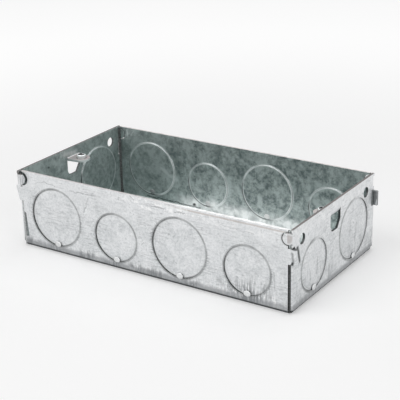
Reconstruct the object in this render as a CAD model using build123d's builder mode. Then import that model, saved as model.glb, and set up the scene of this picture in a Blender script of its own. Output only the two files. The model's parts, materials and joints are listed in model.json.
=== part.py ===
from build123d import *
import os

# A folded steel back box for a two-gang wiring accessory, open at the top. Lengths are in millimetres.
# The origin is on the outside of the base, at its centre. X runs along the box and Z runs up out of it.

# Folded sheet. Its length follows from the screws of the accessory and how far in from its ends they stand
lug_centres = 120.6
lug_hole_inset = 5.7
box_width = 71.0
box_depth = 34.4
sheet = 1.0
bend_inner_r = 0.6

# Corner joints, where the end walls stand across the edges of the long walls. The insets are how far the edges of
# the end walls stop short of the outside of the long walls
corner_gap = 0.6
front_edge_inset = 0.55
rear_edge_inset = 0.1
relief_height = 1.7

# Ears of the end walls, folded round the corner into notches of the long walls
ear_drop = 3.5
ear_r = 2.4
ear_clearance = 0.3
ear_reach = 4.1
ear_bend_inner_r = 0.35
loose_ear_stand_off = 1.5

# Tabs of the long walls, passed through slots of the end walls and bent over their outside
tab_drop = 7.4
tab_height = 6.3
tab_bend_inner_r = 0.5
tab_bend_setback = 0.2
tab_slot_clearance = 0.3
tab_slot_depth = 2.3

# How far the tabs are bent, in degrees, and the straight length of each past its bend, at its foot and its top
slanted_tab_turn = 90
slanted_tab_foot = 2.0
slanted_tab_top = 0.35
open_tab_foot_turn = 8
open_tab_top_turn = 3
open_tab_free = 2.1
torn_tab_foot_turn = 35
torn_tab_top_turn = 10
torn_tab_foot = 0.15
torn_tab_top = 2.1
sprung_tab_foot_turn = 88
sprung_tab_top_turn = 80
sprung_tab_free = 1.25

# A long narrow cut-back in the edge of the front wall, at the left
cutback_foot = 4.4
cutback_height = 11.2
cutback_top_width = 1.0
cutback_foot_width = 1.9

# Knockouts: discs sheared all round but for a tie at their foot, and pressed a little inwards
large_knockout_d = 25.5
small_knockout_d = 20.8
knockout_foot = 3.5
long_wall_pitch = 31.1
end_wall_pitch = 34.4
base_knockout_pitch = 62.2
press_depth = 0.4
tie_width = 2.4
tie_length = 1.6

# Accessory lugs, tongues cut out of the end walls and bent inwards. The right one has the softer bend, so that it
# hangs lower
lug_width = 8.6
lug_hinge_drop = 3.7
left_lug_bend_inner_r = 0.6
right_lug_bend_inner_r = 2.2
lug_tip_r = 3.8
lug_opening_height = 8.7
lug_opening_slant_width = 2.4
lug_opening_slant_height = 3.4
lug_opening_front_r = 2.6
lug_opening_rear_r = 1.4
lug_screw_hole_d = 2.9
collar_wall = 0.45
collar_height = 1.5

# Round holes near the top corners of the end walls
end_hole_d = 4.5
end_hole_centres = 55.0
end_hole_drop = 5.9

# Fixing slots and earth hole in the base
slot_length = 8.0
slot_width = 4.5
slot_centres_x = 100.0
slot_centres_y = 44.0
earth_hole_d = 2.9
earth_hole_y = 22.0

# Values worked out from the sizes above
box_length = lug_centres + 2 * lug_hole_inset
half_length = box_length / 2
half_width = box_width / 2
bend_outer_r = bend_inner_r + sheet
long_wall_edge_x = half_length - sheet - corner_gap
ear_bend_outer_r = ear_bend_inner_r + sheet
ear_z = box_depth - ear_drop
ear_x = half_length - ear_reach + ear_r
notch_r = ear_r + ear_clearance
tab_top = box_depth - tab_drop
tab_bottom = tab_top - tab_height
tab_bend_x = half_length - tab_bend_setback
lug_hinge_z = box_depth - lug_hinge_drop
lug_hole_x = lug_centres / 2
collar_r = lug_screw_hole_d / 2 + collar_wall
through = 2 * box_length


def to_corner(side_x, side_y):
    """Mirrors the part being made from the corner where X and Y are positive to the corner with these signs."""
    if side_x < 0:
        mirror(about=Plane.YZ, mode=Mode.REPLACE)
    if side_y < 0:
        mirror(about=Plane.XZ, mode=Mode.REPLACE)


def tab_section(height, turn, free):
    """Draws a tab at one height: it is bent by turn degrees, with a free straight length past its bend."""
    root_x = long_wall_edge_x - sheet
    with BuildSketch(Plane.XY.offset(height)) as section:
        with BuildLine():
            outer = Line((root_x, half_width), (tab_bend_x, half_width))
            outer_bend = JernArc(outer @ 1, outer % 1, tab_bend_inner_r + sheet, -turn)
            outer_free = Line(outer_bend @ 1, outer_bend @ 1 + (outer_bend % 1) * free)
            inner = Line((root_x, half_width - sheet), (tab_bend_x, half_width - sheet))
            inner_bend = JernArc(inner @ 1, inner % 1, tab_bend_inner_r, -turn)
            inner_free = Line(inner_bend @ 1, inner_bend @ 1 + (inner_bend % 1) * free)
            Line(outer_free @ 1, inner_free @ 1)
            Line(inner @ 0, outer @ 0)
        make_face()
    return section.sketch


def make_tab(side_x, side_y, foot, top):
    """Makes the tab of one corner from its turn and its free length, both at its foot and at its top."""
    with BuildPart() as tab:
        loft([tab_section(tab_bottom, *foot), tab_section(tab_top, *top)])
        to_corner(side_x, side_y)
    return tab.part


def make_ear(side_x, side_y, stand_off):
    """Makes the ear of one corner, from the edge of the end wall round into the notch of the long wall, or in
    front of it, where the ear and the edge above it stand off."""
    root_y = half_width - ear_bend_outer_r
    bend_y = root_y + stand_off
    tip_x = half_length - ear_reach
    edge_inset = front_edge_inset if side_y < 0 else rear_edge_inset
    with BuildPart() as ear:
        with BuildSketch(Plane.XY.offset(ear_z)):
            with BuildLine():
                outer = Line((half_length, root_y - sheet), (half_length, bend_y))
                outer_bend = JernArc(outer @ 1, outer % 1, ear_bend_outer_r, 90)
                outer_tip = Line(outer_bend @ 1, (tip_x, half_width + stand_off))
                inner = Line((half_length - sheet, root_y - sheet), (half_length - sheet, bend_y))
                inner_bend = JernArc(inner @ 1, inner % 1, ear_bend_inner_r, 90)
                inner_tip = Line(inner_bend @ 1, (tip_x, half_width + stand_off - sheet))
                Line(outer_tip @ 1, inner_tip @ 1)
                Line(inner @ 0, outer @ 0)
            make_face()
        extrude(amount=ear_r, both=True)
        with BuildSketch(Plane.XZ):
            with Locations((ear_x, ear_z)):
                Circle(ear_r)
                Rectangle(half_length, 2 * ear_r, align=(Align.MIN, Align.CENTER))
        extrude(amount=through, both=True, mode=Mode.INTERSECT)
        if stand_off:
            # The edge of the end wall above the ear
            with BuildSketch(Plane.XY.offset(ear_z + ear_r)):
                with Locations((half_length, half_width + stand_off - edge_inset)):
                    Rectangle(sheet, stand_off + sheet, align=(Align.MAX, Align.MAX))
            extrude(amount=ear_drop - ear_r)
        to_corner(side_x, side_y)
    return ear.part


def make_lug(side_x, inner_r):
    """Makes the lug of one end wall, bent round inner_r, with the raised collar of its tapped hole."""
    top_z = lug_hinge_z - inner_r
    under_z = top_z - sheet
    bend_x = half_length - sheet - inner_r
    tip_x = lug_hole_x - lug_tip_r
    with BuildPart() as lug:
        with BuildSketch(Plane.XZ):
            with BuildLine():
                under = Line((tip_x, under_z), (bend_x, under_z))
                outer_bend = JernArc(under @ 1, under % 1, inner_r + sheet, 90)
                top = Line((tip_x, top_z), (bend_x, top_z))
                inner_bend = JernArc(top @ 1, top % 1, inner_r, 90)
                Line(under @ 0, top @ 0)
                Line(outer_bend @ 1, inner_bend @ 1)
            make_face()
        extrude(amount=lug_width / 2, both=True)
        with BuildSketch(Plane.XY.offset(under_z)):
            with BuildLine():
                tip = CenterArc((lug_hole_x, 0), lug_tip_r, 90, 180)
                Polyline(
                    tip @ 0,
                    (bend_x, lug_width / 2),
                    (half_length, lug_width / 2),
                    (half_length, -lug_width / 2),
                    (bend_x, -lug_width / 2),
                    tip @ 1,
                )
            make_face()
        extrude(amount=inner_r + sheet, mode=Mode.INTERSECT)
        with BuildSketch(Plane.XY.offset(top_z)):
            with Locations((lug_hole_x, 0)):
                Circle(collar_r)
        extrude(amount=collar_height)
        chamfer(lug.edges().filter_by(GeomType.CIRCLE).sort_by(Axis.Z)[-1], collar_wall / 2)
        with Locations((lug_hole_x, 0, top_z + collar_height)):
            Hole(lug_screw_hole_d / 2)
        to_corner(side_x, 1)
    return lug.part


def knockouts(wall, places):
    """Presses knockouts into a wall, given by a plane with its normal outwards. Places are (x, y, diameter)."""
    with BuildSketch(wall) as discs:
        for x, y, diameter in places:
            with Locations((x, y)):
                Circle(diameter / 2)
            with Locations((x, y - diameter / 2)):
                Rectangle(tie_width, 2 * tie_length, mode=Mode.SUBTRACT)
    extrude(discs.sketch, amount=-press_depth, mode=Mode.SUBTRACT)
    extrude(discs.sketch.moved(Location(-sheet * wall.z_dir)), amount=-press_depth)


# The walls as planes on their outsides, with X along the wall and Y up it
front_wall = Plane(origin=(0, -half_width, 0), x_dir=(1, 0, 0), z_dir=(0, -1, 0))
back_wall = Plane(origin=(0, half_width, 0), x_dir=(-1, 0, 0), z_dir=(0, 1, 0))
right_wall = Plane(origin=(half_length, 0, 0), x_dir=(0, 1, 0), z_dir=(1, 0, 0))
left_wall = Plane(origin=(-half_length, 0, 0), x_dir=(0, -1, 0), z_dir=(-1, 0, 0))
underside = Plane(origin=(0, 0, 0), x_dir=(1, 0, 0), z_dir=(0, 0, -1))

# The front left tab is torn and twisted out, the front right one slants, the back right one stands open, and
# the back left one has sprung back a little
tabs = [
    make_tab(-1, -1, (torn_tab_foot_turn, torn_tab_foot), (torn_tab_top_turn, torn_tab_top)),
    make_tab(1, -1, (slanted_tab_turn, slanted_tab_foot), (slanted_tab_turn, slanted_tab_top)),
    make_tab(1, 1, (open_tab_foot_turn, open_tab_free), (open_tab_top_turn, open_tab_free)),
    make_tab(-1, 1, (sprung_tab_foot_turn, sprung_tab_free), (sprung_tab_top_turn, sprung_tab_free)),
]
ears = [
    make_ear(-1, -1, loose_ear_stand_off),
    make_ear(1, -1, 0),
    make_ear(1, 1, 0),
    make_ear(-1, 1, 0),
]
lugs = [make_lug(-1, left_lug_bend_inner_r), make_lug(1, right_lug_bend_inner_r)]

with BuildPart() as back_box:
    # The tray: one sheet, with its four walls bent up from the base
    with BuildSketch():
        Rectangle(box_length, box_width)
    extrude(amount=box_depth)
    fillet(back_box.faces().sort_by(Axis.Z)[0].edges(), bend_outer_r)
    offset(amount=-sheet, openings=back_box.faces().sort_by(Axis.Z)[-1])

    # Corner reliefs, square notches where the bends would meet
    with BuildSketch():
        with Locations((half_length - bend_outer_r, half_width - bend_outer_r)):
            Rectangle(box_length, box_width, align=(Align.MIN, Align.MIN))
        mirror(about=Plane.YZ)
        mirror(about=Plane.XZ)
    extrude(amount=relief_height, mode=Mode.SUBTRACT)

    # Corner gaps and the inset edges of the end walls, from the reliefs up to the rim
    with BuildSketch(Plane.XY.offset(relief_height)):
        with Locations((half_length - sheet, -half_width)):
            Rectangle(corner_gap, sheet, align=(Align.MAX, Align.MIN))
            Rectangle(sheet, front_edge_inset, align=(Align.MIN, Align.MIN))
        with Locations((half_length - sheet, half_width)):
            Rectangle(corner_gap, sheet, align=(Align.MAX, Align.MAX))
            Rectangle(sheet, rear_edge_inset, align=(Align.MIN, Align.MAX))
        mirror(about=Plane.YZ)
    extrude(amount=box_depth, mode=Mode.SUBTRACT)

    # Rounded notches in the long walls for the ears
    with BuildSketch(Plane.XZ):
        with Locations((ear_x, ear_z)):
            Circle(notch_r)
            Rectangle(half_length, 2 * notch_r, align=(Align.MIN, Align.CENTER))
        with Locations((half_length - sheet, ear_z)):
            Rectangle(box_length, box_depth, align=(Align.MIN, Align.CENTER), mode=Mode.SUBTRACT)
        mirror(about=Plane.YZ)
    extrude(amount=through, both=True, mode=Mode.SUBTRACT)

    # The edges of the end walls, cut back for the bends of the ears and slotted for the tabs
    with BuildSketch(Plane.XY.offset(ear_z)):
        with Locations((half_length - sheet, half_width)):
            Rectangle(box_length, ear_bend_outer_r, align=(Align.MIN, Align.MAX))
        mirror(about=Plane.YZ)
        mirror(about=Plane.XZ)
    extrude(amount=ear_r, both=True, mode=Mode.SUBTRACT)
    with BuildSketch(Plane.XY.offset((tab_top + tab_bottom) / 2)):
        with Locations((half_length - sheet, half_width)):
            Rectangle(box_length, tab_slot_depth, align=(Align.MIN, Align.MAX))
        mirror(about=Plane.YZ)
        mirror(about=Plane.XZ)
    extrude(amount=tab_height / 2 + tab_slot_clearance, both=True, mode=Mode.SUBTRACT)

    # The cut-back in the left edge of the front wall, with blunted inner corners
    with BuildSketch(front_wall) as cutback:
        with BuildLine():
            Polyline(
                (sheet - half_length, cutback_foot),
                (cutback_foot_width - long_wall_edge_x, cutback_foot),
                (cutback_top_width - long_wall_edge_x, cutback_foot + cutback_height),
                (sheet - half_length, cutback_foot + cutback_height),
                close=True,
            )
        make_face()
        chamfer(cutback.vertices().sort_by(Axis.X)[-2:], cutback_top_width / 2)
    extrude(amount=-sheet, mode=Mode.SUBTRACT)

    # Knockouts, large and small in turn along the long walls, and one of each in the end walls
    large_y = knockout_foot + large_knockout_d / 2
    small_y = knockout_foot + small_knockout_d / 2
    outer_x = 1.5 * long_wall_pitch
    inner_x = 0.5 * long_wall_pitch
    end_x = end_wall_pitch / 2
    base_x = base_knockout_pitch / 2
    long_wall_places = [
        (-outer_x, large_y, large_knockout_d),
        (-inner_x, small_y, small_knockout_d),
        (inner_x, large_y, large_knockout_d),
        (outer_x, small_y, small_knockout_d),
    ]
    end_wall_places = [(-end_x, small_y, small_knockout_d), (end_x, large_y, large_knockout_d)]
    knockouts(front_wall, long_wall_places)
    knockouts(back_wall, [(-x, y, diameter) for x, y, diameter in long_wall_places])
    knockouts(right_wall, end_wall_places)
    knockouts(left_wall, [(-x, y, diameter) for x, y, diameter in end_wall_places])
    knockouts(underside, [(-base_x, 0, small_knockout_d), (base_x, 0, small_knockout_d)])

    # The openings that the lugs leave below their hinges. The rear corner of the foot is cut off at a slant
    foot_z = lug_hinge_z - lug_opening_height
    with BuildSketch(Plane.YZ) as opening:
        with BuildLine():
            Polyline(
                (-lug_width / 2, lug_hinge_z),
                (-lug_width / 2, foot_z),
                (lug_width / 2 - lug_opening_slant_width, foot_z),
                (lug_width / 2, foot_z + lug_opening_slant_height),
                (lug_width / 2, lug_hinge_z),
                close=True,
            )
        make_face()
        front_corner, rear_corner, slant_top = opening.vertices().sort_by(Axis.Y)[:3].sort_by(Axis.X)
        fillet(front_corner, lug_opening_front_r)
        fillet([rear_corner, slant_top], lug_opening_rear_r)
    extrude(amount=through, both=True, mode=Mode.SUBTRACT)

    # Round holes near the top corners of the end walls
    with BuildSketch(Plane.YZ):
        with Locations((0, box_depth - end_hole_drop)):
            with GridLocations(end_hole_centres, 0, 2, 1):
                Circle(end_hole_d / 2)
    extrude(amount=through, both=True, mode=Mode.SUBTRACT)

    # Fixing slots and the tapped earth hole in the base
    with BuildSketch():
        with GridLocations(slot_centres_x, slot_centres_y, 2, 2):
            SlotOverall(slot_length, slot_width)
        with Locations((0, earth_hole_y)):
            Circle(earth_hole_d / 2)
    extrude(amount=sheet, mode=Mode.SUBTRACT)

    # The folded tongues
    for tongue in tabs + ears + lugs:
        add(tongue)

back_box.part.label = "back_box"
os.makedirs("parts", exist_ok=True)
export_step(back_box.part, "parts/back_box.step")
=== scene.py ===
"""The looks of a galvanised steel back box for a two-gang wiring accessory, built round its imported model.

Lengths are in metres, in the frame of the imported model: X runs along the box, the viewer stands on the side
of negative Y, and the box lies with its base on Z = 0. Shaders measure in millimetres.
"""

import json
import logging
import math
from collections.abc import Callable, Iterable
from dataclasses import dataclass
from enum import Enum
from functools import reduce
from operator import or_

import bmesh
import bpy
from bmesh.types import BMesh, BMFace
from bpy.types import Material, Node, NodeInputs, NodeSocket, NodeTree, Object
from mathutils import Matrix, Vector

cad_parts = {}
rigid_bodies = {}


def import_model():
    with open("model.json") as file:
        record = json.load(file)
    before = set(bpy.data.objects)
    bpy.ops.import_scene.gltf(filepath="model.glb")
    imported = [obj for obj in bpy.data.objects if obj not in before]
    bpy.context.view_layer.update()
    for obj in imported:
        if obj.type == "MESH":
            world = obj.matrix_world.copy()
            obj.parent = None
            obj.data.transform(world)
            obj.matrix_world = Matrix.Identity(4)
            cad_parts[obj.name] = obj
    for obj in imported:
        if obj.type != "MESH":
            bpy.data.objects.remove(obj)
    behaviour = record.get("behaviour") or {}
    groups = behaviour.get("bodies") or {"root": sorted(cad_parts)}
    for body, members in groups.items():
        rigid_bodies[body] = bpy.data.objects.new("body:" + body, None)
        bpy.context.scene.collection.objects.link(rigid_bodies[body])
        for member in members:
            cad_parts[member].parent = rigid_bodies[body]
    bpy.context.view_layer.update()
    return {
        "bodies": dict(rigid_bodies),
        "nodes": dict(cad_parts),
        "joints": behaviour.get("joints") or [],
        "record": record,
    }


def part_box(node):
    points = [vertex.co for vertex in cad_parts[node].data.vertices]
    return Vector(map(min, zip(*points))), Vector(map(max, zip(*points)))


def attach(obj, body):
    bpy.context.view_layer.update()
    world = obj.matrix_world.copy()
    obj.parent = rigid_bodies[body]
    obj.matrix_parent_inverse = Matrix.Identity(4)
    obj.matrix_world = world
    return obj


LOG = logging.getLogger("back_box")
MM = 0.001
NODE = "back_box"
Colour = tuple[float, float, float]
WHITE: Colour = (1.0, 1.0, 1.0)

# Places on the sheet that its finish goes by, in millimetres.
EAR_CENTRE = (64.3, 30.9, 0.0)
FRONT_EAR_FACE = -35.95
TORN_HEIGHTS = (2.0, 16.5)
INNER_PIP = (16.6, 7.0, 0.0)
BEND_TOP = 1.72
KNOCKOUT_TOP = 21.0
# How far a face may turn towards an axis and still lie across the sheet.
EDGE_ON = 0.4


class Wall(Enum):
    """A wall of the box, by the direction that its outside faces."""

    FRONT = (0, -1, 0)
    BACK = (0, 1, 0)
    RIGHT = (1, 0, 0)
    LEFT = (-1, 0, 0)
    BASE = (0, 0, -1)

    @property
    def outwards(self) -> Vector:
        """The direction that the wall's outside faces."""
        return Vector(self.value)


@dataclass(frozen=True)
class BoxSizes:
    """The sizes of the folded box that its finish and its small pieces are placed by."""

    half_length: float
    half_width: float
    depth: float
    lug_hole_x: float
    thread_hole_r: float
    sheet: float = 1.0 * MM
    knockout_foot: float = 3.5 * MM
    large_knockout_d: float = 25.5 * MM
    small_knockout_d: float = 20.8 * MM
    long_wall_pitch: float = 31.1 * MM
    end_wall_pitch: float = 34.4 * MM
    base_knockout_pitch: float = 62.2 * MM
    left_lug_top: float = 30.1 * MM
    right_lug_top: float = 28.5 * MM
    lug_half_width: float = 4.3 * MM
    lug_tip_r: float = 3.8 * MM
    collar_height: float = 1.5 * MM
    collar_wall: float = 0.45 * MM
    earth_hole_y: float = 22.0 * MM

    @classmethod
    def from_frame(cls, frame: dict) -> "BoxSizes":
        """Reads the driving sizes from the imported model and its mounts.


        Returns:
            The sizes of the box.
        """
        mounts = {mount["name"]: mount for mount in frame["record"]["mounts"]}
        screws = mounts["faceplate_screws"]["dims"]
        return cls(
            half_length=mounts["right_end_holes"]["pos_m"][0],
            half_width=mounts["rear_knockouts"]["pos_m"][1],
            depth=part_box(NODE)[1].z,
            lug_hole_x=screws["spacing_x_mm"] * MM / 2,
            thread_hole_r=screws["hole_r_mm"] * MM,
        )

    def to_wall(self, wall: Wall) -> Matrix:
        """Gives the matrix that carries wall coordinates to the box.

        Args:
            wall: The wall. Its first coordinate runs along it with the box's X or Y, its second up it, or
                with Y on the base, and its third points outwards, from its outside.

        Returns:
            The matrix.
        """
        out = wall.outwards
        along = Vector((0, 1, 0)) if wall in (Wall.RIGHT, Wall.LEFT) else Vector((1, 0, 0))
        up = Vector((0, 1, 0)) if wall is Wall.BASE else Vector((0, 0, 1))
        reach = Vector((self.half_length, self.half_width, 0))
        place = Vector(out[i] * reach[i] for i in range(3))
        return Matrix.Translation(place) @ Matrix((along, up, out)).transposed().to_4x4()


@dataclass(frozen=True)
class Knockout:
    """A pressed disc: where its centre is in its wall's own coordinates, and its diameter."""

    wall: Wall
    along: float
    up: float
    diameter: float


def knockout_pattern(sizes: BoxSizes) -> list[Knockout]:
    """Lists the knockouts of the box.

    Args:
        sizes: The sizes of the box.

    Returns:
        Every knockout, wall by wall.
    """
    large, small = sizes.large_knockout_d, sizes.small_knockout_d
    rows = (
        (Wall.FRONT, sizes.long_wall_pitch, ((-1.5, large), (-0.5, small), (0.5, large), (1.5, small))),
        (Wall.RIGHT, sizes.end_wall_pitch, ((-0.5, small), (0.5, large))),
    )
    opposite = {Wall.FRONT: Wall.BACK, Wall.RIGHT: Wall.LEFT}
    found = [
        Knockout(wall, step * pitch, sizes.knockout_foot + diameter / 2, diameter)
        for first, pitch, row in rows for wall in (first, opposite[first]) for step, diameter in row
    ]
    return found + [Knockout(Wall.BASE, step * sizes.base_knockout_pitch, 0.0, small) for step in (-0.5, 0.5)]


def on_field(operation: str, swapped: bool = False) -> Callable[..., "Field"]:
    """Makes a method of a field that adds a Math node.

    Args:
        operation: The node's operation.
        swapped: Whether the field comes second.

    Returns:
        The method.
    """
    def method(field: "Field", *others: object) -> "Field":
        """Gives the result for the field and the other value."""
        return field.graph.math(operation, *((*others, field) if swapped else (field, *others)))

    return method


class Field:
    """A value in a node tree. Its sums, products and comparisons add the nodes that they need."""

    __add__ = on_field("ADD")
    __radd__ = on_field("ADD", swapped=True)
    __sub__ = on_field("SUBTRACT")
    __rsub__ = on_field("SUBTRACT", swapped=True)
    __mul__ = on_field("MULTIPLY")
    __or__ = on_field("MAXIMUM")
    __gt__ = on_field("GREATER_THAN")
    __lt__ = on_field("LESS_THAN")
    __abs__ = on_field("ABSOLUTE")

    def __init__(self, graph: "Graph", socket: NodeSocket) -> None:
        """Keeps the graph that holds the value, and the socket that puts it out."""
        self.graph, self.socket = graph, socket

    def band(self, low: float, high: float) -> "Field":
        """Gives 1 where the value lies between two numbers, and 0 elsewhere."""
        return (self > low) * (self < high)

    def ramp(self, low: object, high: object, start: object = 0.0, end: object = 1.0) -> "Field":
        """Maps the value smoothly from one range to another, held at both ends.

        Args:
            low: Where the change begins.
            high: Where the change ends.
            start: The result at low.
            end: The result at high.

        Returns:
            The mapped value.
        """
        given = dict(enumerate((self, low, high, start, end)))
        return self.graph.made("MapRange", given, interpolation_type="SMOOTHSTEP")


def largest(fields: Iterable[Field]) -> Field:
    """Gives the largest of some values, each taken in as soon as it is made."""
    return reduce(or_, fields)


class Graph:
    """A node tree under construction, with one short method for each kind of node that the finishes use."""

    def __init__(self, tree: NodeTree) -> None:
        """Keeps the tree."""
        self.tree = tree

    def node(self, kind: str, **settings: object) -> Node:
        """Adds a node.

        Args:
            kind: The node's type name, without its ShaderNode prefix.
            **settings: Properties of the node to set.

        Returns:
            The node.
        """
        made = self.tree.nodes.new("ShaderNode" + kind)
        for name, value in settings.items():
            setattr(made, name, value)
        return made

    def feed(self, inputs: NodeInputs, given: dict[object, object]) -> None:
        """Links fields into a node's inputs, or sets them to plain values.

        Args:
            inputs: The inputs.
            given: What goes into them, by their names or numbers: fields, numbers, vectors or colours.
        """
        for key, value in given.items():
            socket = inputs[key]
            if isinstance(value, Field):
                self.tree.links.new(value.socket, socket)
            elif socket.type == "RGBA":
                socket.default_value = (*value, 1.0)
            else:
                socket.default_value = value

    def made(self, kind: str, given: dict[object, object], output: object = 0, **settings: object) -> Field:
        """Adds a node and feeds it.

        Args:
            kind: The node's type name, without its ShaderNode prefix.
            given: What goes into its inputs, by their names or numbers.
            output: The name or number of the output that is asked for.
            **settings: Properties of the node to set.

        Returns:
            The output.
        """
        node = self.node(kind, **settings)
        self.feed(node.inputs, given)
        return Field(self, node.outputs[output])

    def math(self, operation: str, *values: object) -> Field:
        """Adds a Math node on up to three values and returns its output."""
        return self.made("Math", dict(enumerate(values)), operation=operation)

    def vector(self, operation: str, *values: object) -> Field:
        """Adds a Vector Math node on up to three vectors and returns its output."""
        output = "Value" if operation in ("DISTANCE", "DOT_PRODUCT", "LENGTH") else "Vector"
        return self.made("VectorMath", dict(enumerate(values)), output, operation=operation)

    def split(self, vector: Field) -> list[Field]:
        """Separates a vector and returns its X, Y and Z."""
        node = self.made("SeparateXYZ", {0: vector}).socket.node
        return [Field(self, part) for part in node.outputs]

    def join(self, *parts: object) -> Field:
        """Combines three values and returns the vector."""
        return self.made("CombineXYZ", dict(enumerate(parts)))

    def blend(self, factor: object, first: object, second: object) -> Field:
        """Mixes two colours, and returns the second as far as the factor says."""
        return self.made("Mix", {0: factor, 6: first, 7: second}, 2, data_type="RGBA")

    def between(self, factor: object, first: object, second: object) -> Field:
        """Mixes two values, and returns the second as far as the factor says."""
        return self.made("Mix", {0: factor, 2: first, 3: second}, data_type="FLOAT")

    def place(self) -> Field:
        """Gives the object coordinates, in metres."""
        return self.made("TexCoord", {}, "Object")

    def noise(self, place: Field, scale: object, detail: float = 3.0, roughness: float = 0.5,
              distortion: float = 0.0, stretch: object = None) -> Field:
        """Adds a Noise Texture and returns its value.

        Args:
            place: The object coordinates, in metres.
            scale: Its scale, per millimetre.
            detail: Its number of octaves.
            roughness: How strong the finer octaves are.
            distortion: How far it is stirred.
            stretch: How fast it changes along each axis, 1 where it isn't given.

        Returns:
            The noise, about 0 to 1.
        """
        if stretch is not None:
            place = self.made("Mapping", {"Vector": place, "Scale": stretch})
        given = {"Vector": place, "Scale": scale * (1 / MM), "Detail": detail, "Roughness": roughness}
        return self.made("TexNoise", given | {"Distortion": distortion})

    def bump(self, strength: float, height: Field, **more: Field) -> Field:
        """Adds a Bump node a tenth of a millimetre deep and returns its normal."""
        return self.made("Bump", {"Strength": strength, "Distance": 0.1 * MM, "Height": height} | more)

    def seen_by(self, *rays: str) -> Field:
        """Gives 1 for some kinds of ray, by their names in Light Path, and 0 for the others."""
        path = self.node("LightPath")
        return largest(Field(self, path.outputs[f"Is {ray} Ray"]) for ray in rays)

    def group(self, tree: NodeTree, **values: object) -> dict[str, Field]:
        """Places a node group.

        Args:
            tree: The group's tree.
            **values: Its inputs, by name, with underscores for spaces.

        Returns:
            Its outputs, by name.
        """
        node = self.node("Group", node_tree=tree)
        self.feed(node.inputs, {name.replace("_", " "): value for name, value in values.items()})
        return {socket.name: Field(self, socket) for socket in node.outputs}

    def put_out(self, **values: Field) -> NodeTree:
        """Feeds a group's outputs, and closes it.

        Args:
            **values: The outputs, by name, with underscores for spaces.

        Returns:
            The group's tree.
        """
        for name, value in values.items():
            kind = "NodeSocketVector" if value.socket.type == "VECTOR" else "NodeSocketFloat"
            self.tree.interface.new_socket(name.replace("_", " "), in_out="OUTPUT", socket_type=kind)
        leave = self.tree.nodes.new("NodeGroupOutput")
        self.feed(leave.inputs, dict(enumerate(values.values())))
        return self.tree


def new_group(
    name: str, vectors: Iterable[str] = (), numbers: Iterable[str] = ()
) -> tuple[Graph, list[Field]]:
    """Starts a shader node group.

    Args:
        name: The group's name.
        vectors: The names of its vector inputs.
        numbers: The names of its number inputs.

    Returns:
        The graph, and the group's inputs in order.
    """
    tree = bpy.data.node_groups.new(name, "ShaderNodeTree")
    for names, kind in ((vectors, "NodeSocketVector"), (numbers, "NodeSocketFloat")):
        for socket_name in names:
            tree.interface.new_socket(socket_name, in_out="INPUT", socket_type=kind)
    graph = Graph(tree)
    entry = tree.nodes.new("NodeGroupInput")
    return graph, [Field(graph, socket) for socket in entry.outputs if socket.name]


def new_material(name: str) -> tuple[Material, Graph, NodeInputs]:
    """Starts a material.

    Args:
        name: Its name.

    Returns:
        The material, its graph and the inputs of its shader.
    """
    made = bpy.data.materials.new(name)
    made.use_nodes = True
    return made, Graph(made.node_tree), made.node_tree.nodes["Principled BSDF"].inputs


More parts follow.
